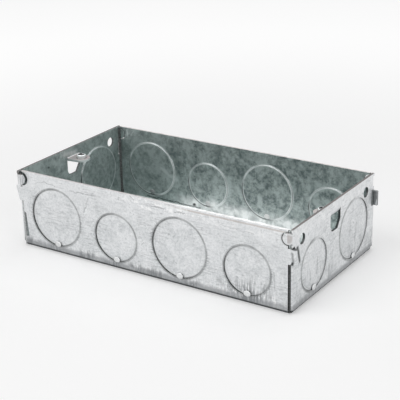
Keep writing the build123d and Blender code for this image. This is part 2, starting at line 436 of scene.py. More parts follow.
class Effects:
    """The effects that the finishes share, each a node group that is built once."""

    def __init__(self) -> None:
        """Builds the groups."""
        self.mottle = self._mottle()
        self.streaks = self._streaks()
        self.ring = self._ring()
        self.stroke = self._stroke()
        self.shade_and_dirt = self._crevice_shade()
        self.edge_wear = self._edge_wear()

    @staticmethod
    def _mottle() -> NodeTree:
        """Builds the tone of a zinc coat: soft clouds from 0, dark, to 1, light, and a fine grain.

        Returns:
            The group's tree.
        """
        graph, given = new_group("zinc_mottle", ["Vector"], ["Cloud Scale", "Grain Scale"])
        place, cloud_scale, grain_scale = given
        cloud = graph.noise(place, cloud_scale, detail=7.0, roughness=0.7, distortion=0.7)
        grain = graph.noise(place, grain_scale, detail=5.0, roughness=0.7)
        return graph.put_out(Cloud=cloud.ramp(0.36, 0.66), Grain=grain.ramp(0.34, 0.68))

    @staticmethod
    def _streaks() -> NodeTree:
        """Builds a mask of short streaks in patches, drawn out along the axis that has the small stretch.

        Returns:
            The group's tree.
        """
        graph, given = new_group("streaks", ["Vector", "Stretch"], ["Level", "Patches"])
        place, stretch, level, patch_scale = given
        lines = graph.noise(place, 1.0, detail=3.0, roughness=0.6, stretch=stretch)
        cut = lines.ramp(level, level + 0.06)
        patches = graph.noise(place, patch_scale, detail=2.0)
        return graph.put_out(Mask=cut * patches.ramp(0.4, 0.58))

    @staticmethod
    def _ring() -> NodeTree:
        """Builds a sheared ring: its line, the edge inside it, the halo round it, and where a point lies.

        Returns:
            The group's tree.
        """
        graph, given = new_group("sheared_ring", ["Flat", "Centre"], ["Radius", "Width"])
        flat, centre, radius, width = given
        beyond = graph.vector("DISTANCE", flat, centre) - radius
        half = width * 0.5
        away = graph.vector("NORMALIZE", graph.vector("SUBTRACT", flat, centre))
        side = graph.vector("DOT_PRODUCT", away, (1.0, 0.0, 0.0))
        return graph.put_out(
            Line=abs(beyond).ramp(half * 1.5, half * 0.5),
            Inner_Edge=abs(beyond + 0.55).ramp(0.35, 0.1),
            Lean=graph.vector("DOT_PRODUCT", away, (-0.71, -0.71, 0.0)),
            Side=side,
            Halo=beyond.ramp(2.2, 0.4) * (beyond > 0.0) * abs(side).ramp(0.6, 0.95),
        )

    @staticmethod
    def _stroke() -> NodeTree:
        """Builds a straight stroke between two points of a flat vector.

        Returns:
            The group's tree.
        """
        graph, given = new_group("stroke", ["Flat", "Start", "End"], ["Width", "Share"])
        flat, start, end, width, strength = given
        there = graph.vector("SUBTRACT", flat, start)
        whole = graph.vector("SUBTRACT", end, start)
        length = graph.vector("DOT_PRODUCT", whole, whole)
        share = graph.math("DIVIDE", graph.vector("DOT_PRODUCT", there, whole), length)
        share = graph.math("MINIMUM", share, 1.0) | 0.0
        nearest = graph.vector("MULTIPLY", whole, graph.join(share, share, share))
        distance = graph.vector("DISTANCE", there, nearest)
        return graph.put_out(Mask=distance.ramp(width, width * 0.2, 0.0, strength))

    @staticmethod
    def _crevice_shade() -> NodeTree:
        """Builds painted shade for corners and gaps from ambient occlusion, from 0 in the open to 1 deep in a
        crevice.

        Returns:
            The group's tree.
        """
        graph, (reach,) = new_group("crevice_shade", numbers=["Reach"])
        occlusion_shade = graph.made("AmbientOcclusion", {"Distance": reach}, "AO", samples=4, only_local=True)
        return graph.put_out(Mask=occlusion_shade.ramp(0.82, 0.42))

    @staticmethod
    def _edge_wear() -> NodeTree:
        """Builds rounded edge normals and a mask of the edges, broken up like worn metal.

        Returns:
            The group's tree.
        """
        graph, (place, radius, breakup) = new_group("edge_wear", ["Vector"], ["Radius", "Breakup"])
        rounded = graph.made("Bevel", {"Radius": radius}, samples=4)
        sharp = graph.made("NewGeometry", {}, "True Normal")
        edge = graph.vector("DOT_PRODUCT", rounded, sharp).ramp(0.995, 0.85)
        broken = graph.noise(place, breakup, detail=3.0)
        return graph.put_out(Mask=edge * broken.ramp(0.3, 0.6), Normal=rounded)


class SheetPoint:
    """A shaded point of the sheet: its place in millimetres, the way it faces, and the wall it lies on."""

    def __init__(self, graph: Graph, sizes: BoxSizes) -> None:
        """Reads the point's place and facing, and lays it flat on each wall.

        Args:
            graph: The material's graph.
            sizes: The sizes of the box.
        """
        self.reach = (sizes.half_length / MM, sizes.half_width / MM, 0.0)
        self.sheet = sizes.sheet / MM
        coordinates = graph.node("TexCoord")
        self.place = Field(graph, coordinates.outputs["Object"])
        self.x, self.y, self.z = (part * (1 / MM) for part in graph.split(self.place))
        self.facing = graph.split(Field(graph, coordinates.outputs["Normal"]))
        self.far_x, self.far_y = abs(self.x), abs(self.y)
        self.on_end = self.far_x > self.reach[0] - 1.3 * self.sheet
        pairs = ((self.x, self.z), (self.y, self.z), (self.x, self.y))
        on_long, on_end, on_base = (graph.join(*pair, 0.0) for pair in pairs)
        self.flat = dict(zip(Wall, (on_long, on_long, on_end, on_end, on_base)))
        self.faces = {}

    def on(self, wall: Wall, inside: bool = False) -> Field:
        """Gives 1 on one face of a wall, and 0 elsewhere.

        Args:
            wall: The wall.
            inside: Whether the face inside the box is meant.

        Returns:
            The mask.
        """
        if (wall, inside) not in self.faces:
            axis = next(i for i in range(3) if wall.value[i])
            depth = self.reach[axis] - (self.x, self.y, self.z)[axis] * float(wall.value[axis])
            low, high = (0.7, 1.9) if inside else (-3.0, 0.7)
            self.faces[wall, inside] = depth.band(low * self.sheet, high * self.sheet)
        return self.faces[wall, inside]

    def outside(self) -> Field:
        """Gives 1 on the outside of the walls and of the base, and 0 inside."""
        return largest(self.on(wall) for wall in (Wall.BASE, *list(Wall)[:-1]))


@dataclass(frozen=True)
class Marks:
    """Straight marks on one face of a wall: for each its start, its end, its width and its strength.

    Starts and ends are in the wall's own coordinates, and all lengths in millimetres.
    """

    wall: Wall
    inside: bool
    strokes: tuple[tuple[float, ...], ...]


DARK_MARKS = (
    Marks(Wall.FRONT, False, (
        (-56.7, 30.3, -51.6, 31.4, 0.26, 0.35), (-51.6, 31.4, -46.4, 30.6, 0.3, 0.5),
        (-46.4, 30.6, -41.5, 30.5, 0.26, 0.3), (-38.7, 30.3, -35.4, 30.1, 0.35, 0.4),
        (-35.4, 30.1, -28.8, 30.4, 0.4, 0.5), (-28.8, 30.4, -22.3, 30.7, 0.4, 0.25),
        (-28.6, 29.1, -30.1, 25.3, 0.35, 0.3), (-30.1, 25.3, -31.5, 21.9, 0.4, 0.45),
        (-7.2, 33.8, -5.4, 32.5, 0.35, 0.45), (-2.0, 31.9, 2.9, 32.0, 0.3, 0.3),
        (2.9, 32.0, 9.0, 31.6, 0.35, 0.6), (13.8, 31.5, 18.9, 31.7, 0.35, 0.55),
        (35.0, 30.5, 50.0, 29.6, 0.3, 0.3), (-2.5, 14.0, -1.2, 14.6, 0.5, 0.4),
        (-30.0, 8.6, -29.2, 8.4, 0.5, 0.4), (5.0, 25.0, 6.5, 23.5, 0.4, 0.35),
        (54.0, 10.0, 54.3, 6.0, 0.4, 0.5), (58.5, 16.0, 58.8, 9.0, 0.35, 0.4),
    )),
    Marks(Wall.RIGHT, False, (
        (-14.5, 9.0, -14.0, 15.5, 0.5, 0.4), (-20.0, 8.0, -19.6, 12.0, 0.4, 0.35),
        (19.0, 10.0, 20.0, 18.0, 0.5, 0.4), (14.0, 14.0, 14.6, 20.5, 0.4, 0.3),
        (-5.0, 3.0, -4.5, 9.0, 0.6, 0.25),
    )),
)

# Near black marks: painted shadow round the front right tab, on the right wall and at its root on the front
# wall, painted shade along the rear wall's crease at the base, and dark spots on the rear and left walls
# inside.
BLACK_MARKS = (
    Marks(Wall.BACK, True, (
        (-23.4, 2.5, -23.0, 2.8, 1.0, 0.95), (-50.0, 2.0, -20.0, 1.9, 0.45, 0.7),
    )),
    Marks(Wall.LEFT, True, (
        (-17.4, 29.9, -17.0, 29.9, 0.8, 0.7),
    )),
    Marks(Wall.RIGHT, False, (
        (-33.6, 26.9, -32.0, 20.9, 0.7, 0.8), (-31.2, 26.0, -29.6, 20.0, 1.5, 0.9),
        (-38.0, 27.5, -33.4, 26.9, 0.6, 0.85),
    )),
    Marks(Wall.FRONT, False, (
        (66.1, 25.4, 66.5, 21.6, 0.7, 0.5), (66.2, 21.6, 66.0, 20.9, 1.0, 0.95),
    )),
)

# Painted highlights.
HIGHLIGHT_MARKS = (
    Marks(Wall.BACK, True, (
        (-60.3, 33.0, -60.2, 30.6, 0.7, 0.6), (-56.6, 33.2, -58.2, 31.0, 0.45, 0.4),
        (-41.0, 17.5, -33.0, 13.5, 1.3, 0.35), (-38.0, 13.0, -36.0, 16.5, 0.9, 0.25),
    )),
    Marks(Wall.LEFT, True, (
        (6.3, 15.6, 6.5, 13.0, 0.6, 0.6), (-6.0, 32.6, 2.0, 31.6, 1.6, 0.35),
    )),
    Marks(Wall.FRONT, False, (
        (8.0, 33.2, 20.0, 33.0, 0.7, 0.5), (-29.6, 24.4, -31.0, 21.0, 0.35, 0.4),
    )),
)


@dataclass(frozen=True)
class GalvanisedSheet:
    """The finish of the folded sheet: pale handled zinc outside, and darker cloudy zinc inside, darker partly
    as painted shade, with painted highlights, reflections and shade laid over both.
    """

    sizes: BoxSizes
    outside_light: Colour = (0.83, 0.84, 0.85)
    outside_dark: Colour = (0.57, 0.59, 0.60)
    # The inside tones are darker than the outside ones partly as painted shade; the near white one is a
    # painted reflection.
    inside_light: Colour = (0.56, 0.62, 0.61)
    inside_dark: Colour = (0.175, 0.215, 0.215)
    inside_painted_reflection: Colour = (0.97, 0.98, 0.98)
    # Ring tones: a dark tone for sheared lines with painted shade, and a painted highlight, also used on the
    # lugs and for the highlight marks.
    dark_line_and_shade: Colour = (0.17, 0.18, 0.18)
    painted_highlight: Colour = (0.90, 0.93, 0.93)
    # Near black: painted shade in corners, gaps, holes, cut faces and along the foot, and a few dark spots.
    shade_and_dirt: Colour = (0.03, 0.035, 0.035)
    scratch: Colour = (0.27, 0.28, 0.29)
    burr: Colour = (0.50, 0.43, 0.39)
    # Rim tones, as painted reflections: a painted highlight for the front rim, also used for edge wear, chips
    # and light strokes, and other tones for the other rims.
    rim_highlight_and_wear: Colour = (0.97, 0.97, 0.97)
    front_rim_plain: Colour = (0.60, 0.575, 0.57)
    right_rim: Colour = (0.19, 0.17, 0.165)
    left_rim: Colour = (0.15, 0.14, 0.135)
    ear_shade: Colour = (0.40, 0.36, 0.35)
    right_lug_top: Colour = (0.52, 0.49, 0.48)
    back_rim: Colour = (0.80, 0.76, 0.75)
    lug_top: Colour = (0.46, 0.42, 0.42)
    outside_roughness: float = 0.42
    inside_roughness: float = 0.40

    def material(self, effects: Effects) -> Material:
        """Builds the material.

        Args:
            effects: The shared effects.

        Returns:
            The material.
        """
        made, graph, shader = new_material("galvanised_sheet")
        painting = SheetPainting(self, graph, effects)
        colour, normal = painting.paint()
        rough = graph.between(painting.outside, self.inside_roughness, self.outside_roughness)
        grain = painting.mottle["Grain"]
        graph.feed(shader, {
            "Base Color": colour,
            "Metallic": 1.0,
            "Roughness": rough + grain * 0.1,
            "Normal": graph.bump(0.2, grain, Normal=normal),
        })
        return made


class SheetPainting:
    """The sheet's colour under construction: each step lays its tones over the colour so far."""

    def __init__(self, look: GalvanisedSheet, graph: Graph, effects: Effects) -> None:
        """Reads the shaded point.

        Args:
            look: The finish, with its tones.
            graph: The material's graph.
            effects: The shared effects.
        """
        self.look, self.graph, self.effects = look, graph, effects
        self.point = SheetPoint(graph, look.sizes)
        self.outside = self.point.outside()
        self.mottle = graph.group(effects.mottle, Vector=self.point.place, Cloud_Scale=0.16, Grain_Scale=1.1)
        self.colour = None

    def paint(self) -> tuple[Field, Field]:
        """Paints the whole sheet.

        Returns:
            The colour, and the normal with its edges rounded.
        """
        graph, look = self.graph, self.look
        scratches = self._marks(DARK_MARKS)
        pale = self._outside_tone()
        deep = self._inside_tone()
        self.colour = graph.blend(self.outside, deep, pale)
        self._rings()
        self._lay(scratches, look.scratch)
        # Near black marks, mostly painted shadow and shade.
        self._lay(self._marks(BLACK_MARKS), look.shade_and_dirt)
        # Painted highlights.
        self._lay(self._marks(HIGHLIGHT_MARKS), look.painted_highlight)
        # Painted shade on the faces across the sheet's thickness.
        self._lay(self._shaded_cut_edges(), look.shade_and_dirt)
        self._corners()
        self._lugs()
        wear = graph.group(self.effects.edge_wear, Vector=self.point.place, Radius=0.15 * MM, Breakup=0.6)
        self._lay(wear["Mask"] * self.outside * 0.5, look.rim_highlight_and_wear)
        self._rims()
        # Painted shade in corners and gaps, from ambient occlusion.
        occlusion_shade = graph.group(self.effects.shade_and_dirt, Reach=1.2 * MM)["Mask"]
        self._lay(occlusion_shade * graph.between(self.outside, 0.4, 0.8), look.shade_and_dirt)
        return self.colour, wear["Normal"]

    def _lay(self, mask: Field, tone: object) -> None:
        """Lays a tone over the colour so far, as far as a mask says."""
        self.colour = self.graph.blend(mask, self.colour, tone)

    def _noise(self, scale: float, **settings: object) -> Field:
        """Gives noise over the sheet, at a scale per millimetre."""
        return self.graph.noise(self.point.place, scale, **settings)

    def _streaks(self, stretch: Colour, level: float, patches: float) -> Field:
        """Gives short streaks in patches, fewer at a higher level."""
        return self.graph.group(self.effects.streaks, Vector=self.point.place, Stretch=stretch, Level=level,
                                Patches=patches)["Mask"]

    def _outside_tone(self) -> Field:
        """Paints the outside, with its scuffs, its chipped rim, the grimy strokes near its foot, a darker
        band towards its foot and a dark line of painted contact shadow along it.

        Returns:
            The colour.
        """
        point, look, mottle = self.point, self.look, self.mottle
        shade = mottle["Cloud"] * 0.4 + mottle["Grain"] * 0.6
        self.colour = self.graph.blend(shade, look.outside_light, look.outside_dark)
        self._lay(point.z.ramp(22.0, 33.0, 0.0, 0.35), look.outside_light)
        self._lay(self._streaks((0.22, 0.22, 1.9), 0.53, 0.09) * 0.26, look.scratch)
        specks = self._noise(0.55, detail=2.0, roughness=0.6)
        self._lay(specks.ramp(0.66, 0.74, 0.0, 0.3), look.scratch)
        chips = self._noise(0.45, detail=4.0, roughness=0.7)
        under_rim = point.z.band(29.5, 33.9) * point.x.ramp(-22.0, 0.0)
        self._lay(chips.ramp(0.5, 0.6) * (point.x.ramp(18.0, 34.0, 0.8, 0.3) * under_rim), look.rim_highlight_and_wear)
        on_long = 1.0 - point.on_end
        self._lay(point.z.band(33.0, 33.7) * point.x.ramp(2.0, 20.0, 0.0, 0.5) * on_long, look.burr)
        strokes_top = 6.0 + point.x.ramp(15.0, 62.0) * 11.0
        near_foot = point.z.ramp(strokes_top, 2.5) * point.z.ramp(0.8, 1.6)
        zone = near_foot * self.graph.between(on_long, 0.35, 1.0)
        for stretch, level, patches, share, tone in (
            ((1.1, 1.1, 0.17), 0.49, 0.10, 0.7, look.rim_highlight_and_wear),
            ((1.2, 1.2, 0.16), 0.46, 0.12, 1.0, look.scratch),
            ((0.5, 0.5, 1.7), 0.50, 0.20, 0.3, look.scratch),
        ):
            self._lay(self._streaks(stretch, level, patches) * zone * share, tone)
        # Darker towards the foot, in a ragged band.
        ragged = point.z + self._noise(0.35, detail=3.0) * 1.6
        upright = point.facing[2] > -0.8
        self._lay(ragged.ramp(5.2, 3.2, 0.0, 0.68) * upright, look.scratch)
        # Painted contact shadow: a dark line along the foot, where the walls stand up.
        self._lay(point.z.ramp(1.7, 1.0, 0.0, 0.93) * upright, look.shade_and_dirt)
        return self.colour

    def _inside_tone(self) -> Field:
        """Paints the inside, cloudy zinc darker than the outside partly as painted shade, with painted light
        towards the left end and a painted reflection low on the rear wall.

        Returns:
            The colour.
        """
        point, look, cloud = self.point, self.look, self.mottle["Cloud"]
        speckle = self._noise(0.42, detail=4.0, roughness=0.75)
        shade = cloud * 0.7 + speckle.ramp(0.38, 0.62, 0.0, 0.6)
        self.colour = self.graph.blend(shade, look.inside_dark, look.inside_light)
        # Painted light towards the left end.
        self._lay(point.x.ramp(-20.0, -50.0, 0.0, 0.27), look.inside_light)
        near_rear = point.y > 12.0
        height = point.z + self._noise(0.13, detail=3.0, stretch=(1.0, 0.0, 0.0)) * 9.0
        low = height.ramp(12.5, 8.5)
        span = point.x.ramp(-38.0, -26.0) * point.x.ramp(40.0, 26.0)
        foot_span = point.z.ramp(4.5, 2.5) * point.x.ramp(52.0, 44.0)
        span = span | foot_span * (point.x > 0.0)
        by_pip = self.graph.vector("DISTANCE", point.flat[Wall.BACK], INNER_PIP)
        # Painted reflection low on the rear wall, clouded.
        painted_reflection_patch = low * span * near_rear * by_pip.ramp(2.5, 6.0, 0.25, 1.0)
        self._lay(painted_reflection_patch * (0.45 + cloud * 0.5), look.inside_painted_reflection)
        return self.colour

    def _rings(self) -> None:
        """Draws each knockout's ring: a sheared line with painted shade outside, a painted highlight inside,
        painted shade at its lower left, and a painted highlight on the inner edge there.
        """
        graph, point, look = self.graph, self.point, self.look
        width = graph.between(self.outside, 1.0, graph.between(point.on_end, 1.1, 1.7))
        on_long = 1.0 - point.on_end
        walls = {}
        for wall, other in ((Wall.FRONT, Wall.BACK), (Wall.RIGHT, Wall.LEFT), (Wall.BASE, Wall.BASE)):
            walls[wall] = largest(point.on(w, inside) for w in (wall, other) for inside in (False, True))
        total = {}
        for knockout in knockout_pattern(look.sizes):
            if knockout.wall not in walls:
                continue
            face = walls[knockout.wall]
            centre = (knockout.along / MM, knockout.up / MM, 0.0)
            ring = graph.group(self.effects.ring, Flat=point.flat[knockout.wall], Centre=centre, Width=width,
                               Radius=knockout.diameter / 2 / MM)
            lean = ring["Lean"]
            drawn = ring["Line"] * ((ring["Side"].ramp(0.35, -0.3, 0.2, 1.0) | on_long) * face)
            masks = {
                "line": drawn,
                "edge": ring["Inner Edge"] * face * lean.ramp(0.3, 0.8),
                "dark": drawn * lean.ramp(0.35, 0.7),
                "halo": ring["Halo"] * face,
            }
            total = {name: total[name] | mask if total else mask for name, mask in masks.items()}
        uneven = self._noise(0.18, detail=2.0).ramp(0.35, 0.62, 0.6, 1.0)
        ticks = self._streaks((0.35, 0.35, 2.4), 0.5, 0.08) * total["halo"] * self.outside
        self._lay(ticks * 0.55, look.scratch)
        # Outside the line is dark, the sheared line with painted shade; inside it is a painted highlight;
        # painted shade darkens its lower left.
        shade = graph.blend(self.outside, look.painted_highlight, look.dark_line_and_shade)
        shade = graph.blend(total["dark"], shade, look.dark_line_and_shade)
        strength = graph.between(self.outside, 0.95, 0.68 + total["dark"] * 0.08)
        self._lay(total["line"] * uneven * strength, shade)
        # Painted highlight on the inner edge at the lower left.
        self._lay(total["edge"] * uneven * 0.7, look.painted_highlight)

    def _marks(self, groups: Iterable[Marks]) -> Field:
        """Draws straight marks, a little unsteady.

        Args:
            groups: The marks, by face.

        Returns:
            The mask.
        """
        graph, point, total = self.graph, self.point, None
        shake = self._noise(0.45) - 0.5
        offset = graph.join(shake * 1.2, shake * -2.0, 0.0)
        for marks in groups:
            flat = graph.vector("ADD", point.flat[marks.wall], offset)
            strokes = (
                graph.group(self.effects.stroke, Flat=flat, Start=(x, y, 0.0), End=(to_x, to_y, 0.0),
                            Width=width, Share=share)["Mask"]
                for x, y, to_x, to_y, width, share in marks.strokes
            )
            drawn = largest(strokes) * point.on(marks.wall, marks.inside)
            total = total | drawn if total else drawn
        return total

    def _corners(self) -> None:
        """Paints shade on what shows behind the ears and round their notches, streaks what stands off, and
        greys the torn corner.
        """
        graph, point, look = self.graph, self.point, self.look
        from_ear = graph.vector("DISTANCE", graph.join(point.far_x, point.z, 0.0), EAR_CENTRE)
        in_front = point.y < FRONT_EAR_FACE
        behind = point.y.ramp(-29.0, -31.0) * (1.0 - in_front)
        left = point.x < 0.0
        # Painted shade on the inside seen behind the left ear.
        hollow_shade = behind * left * from_ear.ramp(3.2, 2.95)
        seen = (point.z < 32.4) | (point.y < -34.3)
        self._lay(hollow_shade * seen * 0.9, look.shade_and_dirt)
        # Painted shade in the gap round each front ear's notch.
        notch_shade = abs(from_ear - 2.6).ramp(0.5, 0.15) * (behind * 0.6)
        self._lay(notch_shade * point.on(Wall.FRONT), look.dark_line_and_shade)
        lines = self._noise(1.0, stretch=(2.2, 2.2, 0.15))
        on_ear = in_front * left
        self._lay(on_ear * lines.ramp(0.45, 0.6, 0.0, 0.6), look.scratch)
        self._lay(on_ear * (point.z > 33.0) * 0.85, look.left_rim)
        open_tab = (point.x > 66.1) * (point.y > 34.3)
        self._lay(open_tab * 0.9, graph.blend(lines.ramp(0.4, 0.6), look.dark_line_and_shade, look.scratch))
        in_tear = point.z.band(*TORN_HEIGHTS)
        torn = (point.x < -64.35) * (point.y < -33.0) * in_tear * (1.0 - point.on(Wall.LEFT))
        cut_back = point.x.band(-64.4, -62.2) * (point.y < -34.3) * in_tear
        cut_back = cut_back * abs(point.facing[1]).ramp(0.6, 0.4)
        self._lay((torn | cut_back) * 0.85, look.outside_dark)
        brown = point.on(Wall.FRONT) * point.x.band(64.0, 66.3) * from_ear.ramp(2.5, 1.2)
        self._lay(brown * 0.6, look.ear_shade)

    def _lugs(self) -> None:
        """Tints the tops of the lugs, paints a highlight on their cut edges and collars, and paints shade
        round the collars and in the holes.
        """
        graph, point, look, sizes = self.graph, self.point, self.look, self.look.sizes
        tip = (sizes.lug_hole_x - sizes.lug_tip_r) / MM
        across = point.far_y < sizes.lug_half_width / MM + 0.1
        along = point.far_x.band(tip - 0.3, point.reach[0] - point.sheet - 0.05)
        lug = across * along * (point.z > 26.5)
        facing_up = point.facing[2].ramp(0.5, 0.8)
        top = graph.blend(point.x > 0.0, look.lug_top, look.right_lug_top)
        # The tops take their tint; the other faces, the cut edges, take a painted highlight.
        self._lay(lug, graph.blend(facing_up, look.painted_highlight, top))
        axis = (sizes.lug_hole_x / MM, 0.0, 0.0)
        distance = graph.vector("DISTANCE", graph.join(point.far_x, point.far_y, 0.0), axis)
        hole_r = sizes.thread_hole_r / MM
        collar_r = hole_r + sizes.collar_wall / MM
        # Painted highlight on the collars, painted shade round their feet and in the holes.
        self._lay(lug * (distance < collar_r + 0.05), look.painted_highlight)
        self._lay(lug * distance.band(collar_r + 0.05, collar_r + 0.4) * 0.7, look.shade_and_dirt)
        self._lay(lug * (distance < hole_r + 0.04), look.shade_and_dirt)

    def _shaded_cut_edges(self) -> Field:
        """Gives the faces across the sheet's thickness, in its holes, slots and gaps, which are painted dark
        as painted shade.

        Returns:
            The mask.
        """
        point, slack = self.point, 0.05

        def in_sheet(far: Field, axis: int) -> Field:
            """Gives 1 on what lies across the sheet of the walls that an axis meets."""
            return far.band(point.reach[axis] - point.sheet - slack, point.reach[axis] + slack)

        long_wall = in_sheet(point.far_y, 1) * (point.far_x < 64.6) * (abs(point.facing[1]) < EDGE_ON)
        end_wall = in_sheet(point.far_x, 0) * (point.far_y < 35.2) * (abs(point.facing[0]) < EDGE_ON)
        at_corner = point.far_y > 34.0
        sheared_over = at_corner * point.far_x.ramp(65.25, 65.6)
        in_step = (point.z < KNOCKOUT_TOP) * (1.0 - at_corner)
        end_wall = end_wall * (1.0 - (sheared_over | in_step * 0.75))
        walls = (long_wall | end_wall) * (point.z > BEND_TOP)
        base = point.z.band(-slack, 1.05) * (abs(point.facing[2]) < EDGE_ON)
        return (walls | base * (point.far_x < 63.0) * (point.far_y < 33.0)) * 0.9

    def _rims(self) -> None:
        """Colours the cut tops of the four walls with painted reflections: a painted highlight on the right
        half of the front rim, and darker tones on the end rims.
        """
        blend, point, look = self.graph.blend, self.point, self.look
        top = (point.z > look.sizes.depth / MM - 0.1) * (point.facing[2] > 0.8)
        front = blend(point.x.ramp(0.0, 22.0), look.front_rim_plain, look.rim_highlight_and_wear)
        long_rim = blend(point.y > 0.0, front, look.back_rim)
        end_rim = blend(point.x > 0.0, look.left_rim, look.right_rim)
        rim = blend(point.on_end, long_rim, end_rim)
        self._lay(top * self._noise(0.5, detail=3.0).ramp(0.3, 0.7, 0.75, 1.0), rim)


@dataclass(frozen=True)
class SmallMetal:
    """The finish of the small raised pieces: rubbed zinc, darker towards the left end, with painted shade at
    its foot.
    """

    name: str
    left_end_tone: Colour
    light: Colour = (0.86, 0.87, 0.87)
    dark: Colour = (0.50, 0.52, 0.53)
    shade_and_dirt: Colour = (0.05, 0.055, 0.055)
    shade_share: float = 0.5
    roughness: float = 0.32
    metallic: float = 1.0
    left_end_from: float = -8 * MM
    left_end_to: float = -25 * MM

    def material(self, effects: Effects) -> Material:
        """Builds the material.

        Args:
            effects: The shared effects.

        Returns:
            The material.
        """
        made, graph, shader = new_material(self.name)
        place = graph.place()
        mottle = graph.group(effects.mottle, Vector=place, Cloud_Scale=0.7, Grain_Scale=2.2)
        colour = graph.blend(mottle["Grain"] * 0.6, self.light, self.dark)
        # Darker towards the left end; on the inside pips this is painted shade beside the painted reflection.
        to_left = graph.split(place)[0].ramp(self.left_end_from, self.left_end_to)
        colour = graph.blend(to_left, colour, self.left_end_tone)
        # Painted shade at the foot, from ambient occlusion.
        occlusion_shade = graph.group(effects.shade_and_dirt, Reach=0.5 * MM)["Mask"]
        graph.feed(shader, {
            "Base Color": graph.blend(occlusion_shade * self.shade_share, colour, self.shade_and_dirt),
            "Metallic": self.metallic,
            "Roughness": self.roughness + mottle["Cloud"] * 0.15,
            "Normal": graph.bump(0.3, mottle["Grain"]),
        })
        return made


def add_piece(name: str, form: BMesh, material: Material, smooth: bool = True) -> Object:
    """Makes a piece from a finished form, dresses it and lets it ride with the box.

    Args:
        name: The piece's name.
        form: Its form, in the box's place. It is freed.
        material: Its finish.
        smooth: Whether it is shaded smooth.

    Returns:
        The piece.
    """
    bmesh.ops.recalc_face_normals(form, faces=form.faces)
    for face in form.faces:
        face.smooth = smooth
    mesh = bpy.data.meshes.new(name)
    form.to_mesh(mesh)
    form.free()
    mesh.materials.append(material)
    piece = bpy.data.objects.new(name, mesh)
    bpy.context.scene.collection.objects.link(piece)
    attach(piece, "root")
    LOG.info("%s built with %d faces", name, len(mesh.polygons))
    return piece


@dataclass(frozen=True)
class TiePips:
    """The low round bumps that the press left at the knockouts' ties, on both faces of the sheet."""

    sizes: BoxSizes
    outside_r: float = 1.45 * MM
    outside_height: float = 0.32 * MM
    outside_rise: float = 0.8 * MM
    inside_r: float = 1.3 * MM
    inside_height: float = 0.45 * MM
    inside_rise: float = 1.5 * MM
    pressed_in: float = 0.4 * MM
    breadth: float = 1.15
    tallness: float = 0.9
    sink: float = 0.06 * MM
    turns: int = 20
    rings: int = 10

    def build(self, outer: Material, inner: Material) -> None:
        """Makes the two groups of pips.

        Args:
            outer: The finish of those outside.
            inner: The finish of those inside.
        """
        outside, inside = bmesh.new(), bmesh.new()
        for knockout in knockout_pattern(self.sizes):
            foot = knockout.up - knockout.diameter / 2
            wall = self.sizes.to_wall(knockout.wall)
            if knockout.wall is not Wall.BASE:
                place = Vector((knockout.along, foot + self.outside_rise, -self.sink))
                self._dome(outside, wall @ Matrix.Translation(place), self.outside_r, self.outside_height)
            under = self.sizes.sheet + self.pressed_in
            place = Vector((knockout.along, foot + self.inside_rise, self.sink - under))
            self._dome(inside, wall @ Matrix.Translation(place), self.inside_r, -self.inside_height)
        add_piece("tie_pips_outside", outside, outer)
        add_piece("tie_pips_inside", inside, inner)

    def _dome(self, form: BMesh, place: Matrix, radius: float, height: float) -> None:
        """Adds a flat dome with a closed foot.

        Args:
            form: The form to add to.
            place: Carries the dome's own place to the box.
            radius: Its radius.
            height: Its height, negative where it stands on the inside.
        """
        dome = bmesh.new()
        bmesh.ops.create_uvsphere(dome, u_segments=self.turns, v_segments=self.rings, radius=radius)
        everything = dome.verts[:] + dome.edges[:] + dome.faces[:]
        bmesh.ops.bisect_plane(dome, geom=everything, plane_co=(0, 0, 0), plane_no=(0, 0, 1),
                               clear_inner=True)
        bmesh.ops.holes_fill(dome, edges=[edge for edge in dome.edges if edge.is_boundary], sides=0)
        bmesh.ops.scale(dome, vec=(self.breadth, self.tallness, height / radius), verts=dome.verts)
        bmesh.ops.transform(dome, matrix=place, verts=dome.verts)
        bmesh.ops.remove_doubles(dome, verts=dome.verts, dist=radius * 0.01)
        bmesh.ops.recalc_face_normals(dome, faces=dome.faces)
        loose = bpy.data.meshes.new("dome")
        dome.to_mesh(loose)
        dome.free()
        form.from_mesh(loose)
        bpy.data.meshes.remove(loose)


@dataclass(frozen=True)
class ShadeFillFinish:
    """The finish of the corner shade fill: near black as painted shade, but for the torn corner at the front
    left, which takes the outside's tone.
    """

    dark: Colour = (0.035, 0.037, 0.037)
    light: Colour = (0.16, 0.165, 0.165)
    torn: Colour = (0.62, 0.64, 0.64)
    roughness: float = 0.75

    def material(self, effects: Effects) -> Material:
        """Builds the material.

        Args:
            effects: The shared effects.

        Returns:
            The material.
        """
        made, graph, shader = new_material("corner_shade_finish")
        place = graph.place()
        grain = graph.group(effects.mottle, Vector=place, Cloud_Scale=0.5, Grain_Scale=1.5)["Grain"]
        x, y, _ = graph.split(place)
        tone = graph.blend(grain, self.dark, self.light)
        share = (x < 0.0) * (y < 0.0) * grain.ramp(0.0, 1.0, 0.6, 1.0)
        graph.feed(shader, {
            "Base Color": graph.blend(share, tone, self.torn),
            "Roughness": self.roughness - grain * 0.15,
            "Metallic": 0.3,
            "Normal": graph.bump(0.4, grain),
        })
        return made


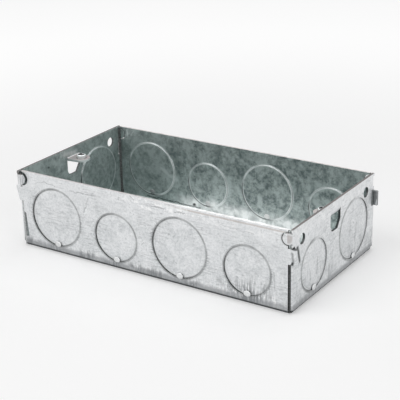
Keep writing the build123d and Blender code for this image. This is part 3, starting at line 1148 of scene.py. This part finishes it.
@dataclass(frozen=True)
class CornerShadeFill:
    """Dark pieces that stand for shade in the four corners: a slim fillet inside, and a fill in the gap below
    each tab.
    """

    sizes: BoxSizes
    long_wall_end: float = 64.4 * MM
    front_edge: float = 34.9 * MM
    rear_edge: float = 35.2 * MM
    torn_edge: float = 35.4 * MM
    slot_foot: float = 20.3 * MM
    below_rim: float = 0.6 * MM
    foot: float = 0.5 * MM
    heel_height: float = 3.4 * MM
    heel_share: float = 1.8
    reach_along: float = 0.85 * MM
    reach_across: float = 0.8 * MM
    reach_in: float = 0.2 * MM
    slack: float = 0.02 * MM

    def build(self, material: Material) -> None:
        """Makes the shade fill as one piece.

        Args:
            material: Their finish.
        """
        sizes, form = self.sizes, bmesh.new()
        end, side = sizes.half_length - sizes.sheet, sizes.half_width - sizes.sheet
        x, y = end + self.slack, side + self.slack
        along, across = self.reach_along * self.heel_share, self.reach_across * self.heel_share
        heel = ((x, y), (x - along, y), (x, y - across))
        near, far, inner = self.long_wall_end + self.slack, end - self.slack, side - self.reach_in
        for side_x in (-1, 1):
            for side_y in (-1, 1):
                turn = Matrix.Diagonal((side_x, side_y, 1, 1))
                edge = self.rear_edge if side_y > 0 else self.front_edge
                edge = self.torn_edge if side_x < 0 and side_y < 0 else edge
                top = sizes.depth - self.below_rim if side_y > 0 else self.slot_foot
                self._column(form, turn, heel, ((self.heel_height, 1 / self.heel_share), (top, 1.0)))
                gap = ((near, inner), (far, inner), (far, edge), (near, edge))
                self._column(form, turn, gap, ((self.slot_foot, 1.0),))
        add_piece("corner_shade_fill", form, material, smooth=False)

    def _column(self, form: BMesh, turn: Matrix, outline: Iterable[tuple[float, float]],
                levels: Iterable[tuple[float, float]]) -> None:
        """Adds a column in one corner of the box.

        Args:
            form: The form to add to.
            turn: Carries the rear right corner to this one.
            outline: Its outline at the foot, whose first point it narrows towards.
            levels: The height of each level, and the share of the outline below that is left there.
        """
        made = [form.verts.new((x, y, self.foot)) for x, y in outline]
        face = form.faces.new(made)
        axis = Matrix.Translation((-made[0].co.x, -made[0].co.y, 0))
        for height, share in levels:
            grown = bmesh.ops.extrude_face_region(form, geom=[face])["geom"]
            face = next(item for item in grown if isinstance(item, BMFace))
            bmesh.ops.translate(form, vec=(0, 0, height - face.verts[0].co.z), verts=face.verts)
            bmesh.ops.scale(form, vec=(share, share, 1), space=axis, verts=face.verts)
            made += face.verts
        bmesh.ops.transform(form, matrix=turn, verts=made)


@dataclass(frozen=True)
class ScrewThreads:
    """The threads of the two lug holes and of the earth hole, each a ridge that winds up the hole's wall."""

    sizes: BoxSizes
    pitch: float = 0.6 * MM
    ridge: float = 0.16 * MM
    root_width: float = 0.5 * MM
    sink: float = 0.02 * MM
    steps_a_turn: int = 32

    def build(self, material: Material) -> None:
        """Makes the three threads.

        Args:
            material: Their finish.
        """
        sizes = self.sizes
        lug_length = sizes.sheet + sizes.collar_height
        holes = (
            ("left_lug_thread", (-sizes.lug_hole_x, 0.0), sizes.left_lug_top - sizes.sheet, lug_length),
            ("right_lug_thread", (sizes.lug_hole_x, 0.0), sizes.right_lug_top - sizes.sheet, lug_length),
            ("earth_thread", (0.0, sizes.earth_hole_y), 0.0, sizes.sheet),
        )
        for name, (x, y), foot, length in holes:
            add_piece(name, self._ridge(Vector((x, y, foot)), length), material)

    def _ridge(self, foot: Vector, length: float) -> BMesh:
        """Winds a three-sided ridge up a hole.

        Args:
            foot: The centre of the hole's lower mouth.
            length: The hole's length.

        Returns:
            The ridge.
        """
        form = bmesh.new()
        root = self.sizes.thread_hole_r + self.sink
        section = ((root, 0.0), (root - self.ridge, self.root_width / 2), (root, self.root_width))
        corners = [form.verts.new(foot + Vector((r, 0.0, z))) for r, z in section]
        face = form.faces.new(corners)
        turns = (length - self.root_width) / self.pitch
        steps = max(4, round(turns * self.steps_a_turn))
        rise = Vector((0.0, 0.0, (length - self.root_width) / steps))
        bmesh.ops.spin(form, geom=[face, *face.edges, *face.verts], cent=foot, axis=(0, 0, 1), dvec=rise,
                       angle=turns * math.tau, steps=steps, use_duplicate=False)
        bmesh.ops.remove_doubles(form, verts=form.verts, dist=self.ridge * 0.01)
        return form


@dataclass(frozen=True)
class Studio:
    """A pale floor, a white surround and soft lamps."""

    floor_size: float = 6.0
    floor_colour: Colour = (0.86, 0.86, 0.86)
    floor_roughness: float = 0.9
    near_glow: float = 0.20
    far_glow: float = 0.345
    near_reach: float = 0.12
    far_reach: float = 0.42
    surround_strength: float = 0.45

    def build(self) -> None:
        """Makes the floor, the world and the lamps, which hang round the box and face it."""
        self._floor()
        self._world()
        for name, place, size, watts in (
            ("key_lamp", (-0.35, -0.55, 0.85), 0.7, 3.0),
            ("fill_lamp", (0.8, -0.35, 0.5), 0.6, 1.3),
            ("top_lamp", (0.1, 0.35, 1.0), 0.8, 1.9),
        ):
            data = bpy.data.lights.new(name, "AREA")
            data.size = size
            data.energy = watts
            lamp = bpy.data.objects.new(name, data)
            lamp.location = place
            lamp.rotation_euler = (-Vector(place)).to_track_quat("-Z", "Y").to_euler()
            bpy.context.scene.collection.objects.link(lamp)

    def _floor(self) -> None:
        """Makes the floor, whose own glow for the camera takes it near white and keeps the shadow."""
        form = bmesh.new()
        bmesh.ops.create_grid(form, x_segments=1, y_segments=1, size=self.floor_size / 2)
        mesh = bpy.data.meshes.new("floor")
        form.to_mesh(mesh)
        form.free()
        floor = bpy.data.objects.new("floor", mesh)
        bpy.context.scene.collection.objects.link(floor)
        made, graph, shader = new_material("pale_floor")
        away = graph.vector("LENGTH", graph.place())
        glow = away.ramp(self.near_reach, self.far_reach, self.near_glow, self.far_glow)
        graph.feed(shader, {
            "Base Color": self.floor_colour,
            "Roughness": self.floor_roughness,
            "Specular IOR Level": 0.0,
            "Emission Color": WHITE,
            "Emission Strength": graph.seen_by("Camera", "Glossy") * glow,
        })
        mesh.materials.append(made)

    def _world(self) -> None:
        """Makes the surround: white to the camera and in reflections, and a plain light level otherwise."""
        world = bpy.data.worlds.new("surround")
        world.use_nodes = True
        bpy.context.scene.world = world
        graph = Graph(world.node_tree)
        seen = graph.seen_by("Camera", "Glossy", "Transmission")
        strength = graph.between(seen, self.surround_strength, 1.0)
        graph.feed(world.node_tree.nodes["Background"].inputs, {"Color": WHITE, "Strength": strength})


@dataclass(frozen=True)
class PhotoCamera:
    """A camera at the photograph's place, with its angles in degrees and its lens in millimetres."""

    eye: tuple[float, float, float] = (0.24774, -0.37115, 0.19732)
    azimuth: float = 33.439
    elevation: float = 21.507
    roll: float = -1.298
    lens: float = 102.10
    sensor: float = 36.0
    nearest: float = 0.01

    def build(self) -> None:
        """Makes the camera and gives it to the scene."""
        azimuth, elevation = math.radians(self.azimuth), math.radians(self.elevation)
        level = math.cos(elevation)
        back = Vector((math.sin(azimuth) * level, -math.cos(azimuth) * level, math.sin(elevation)))
        right = Vector((math.cos(azimuth), math.sin(azimuth), 0.0))
        up = back.cross(right)
        axes = Matrix((right, up, back)).transposed().to_4x4()
        data = bpy.data.cameras.new("photo_camera")
        data.lens = self.lens
        data.sensor_width = self.sensor
        data.clip_start = self.nearest
        camera = bpy.data.objects.new("photo_camera", data)
        roll = Matrix.Rotation(math.radians(self.roll), 4, "Z")
        camera.matrix_world = Matrix.Translation(self.eye) @ axes @ roll
        bpy.context.scene.collection.objects.link(camera)
        bpy.context.scene.camera = camera


def main() -> None:
    """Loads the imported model, dresses it, adds its small pieces and sets up the studio."""
    logging.basicConfig(level=logging.INFO, format="%(name)s: %(message)s")
    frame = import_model()
    bpy.context.scene.view_settings.view_transform = "Standard"
    PhotoCamera().build()
    Studio().build()
    sizes = BoxSizes.from_frame(frame)
    effects = Effects()
    sheet = GalvanisedSheet(sizes).material(effects)
    node = frame["nodes"][NODE]
    node.data.materials.clear()
    node.data.materials.append(sheet)
    LOG.info("%s dressed with %s", NODE, sheet.name)
    rubbed = SmallMetal("rubbed_zinc", left_end_tone=(0.74, 0.75, 0.75))
    # The inside pips: near white as a painted highlight, in the painted reflection low on the rear wall, and
    # dark towards the left as painted shade.
    bright = SmallMetal("painted_highlight_zinc", left_end_tone=(0.26, 0.28, 0.28), light=WHITE, dark=(0.85, 0.86, 0.86),
                        metallic=0.2)
    TiePips(sizes).build(rubbed.material(effects), bright.material(effects))
    # Dark fill that stands for shade in the corner gaps.
    CornerShadeFill(sizes).build(ShadeFillFinish().material(effects))
    tapped = SmallMetal("tapped_steel", left_end_tone=(0.70, 0.71, 0.71), shade_share=0.85)
    ScrewThreads(sizes).build(tapped.material(effects))


if __name__ == "__main__":
    main()
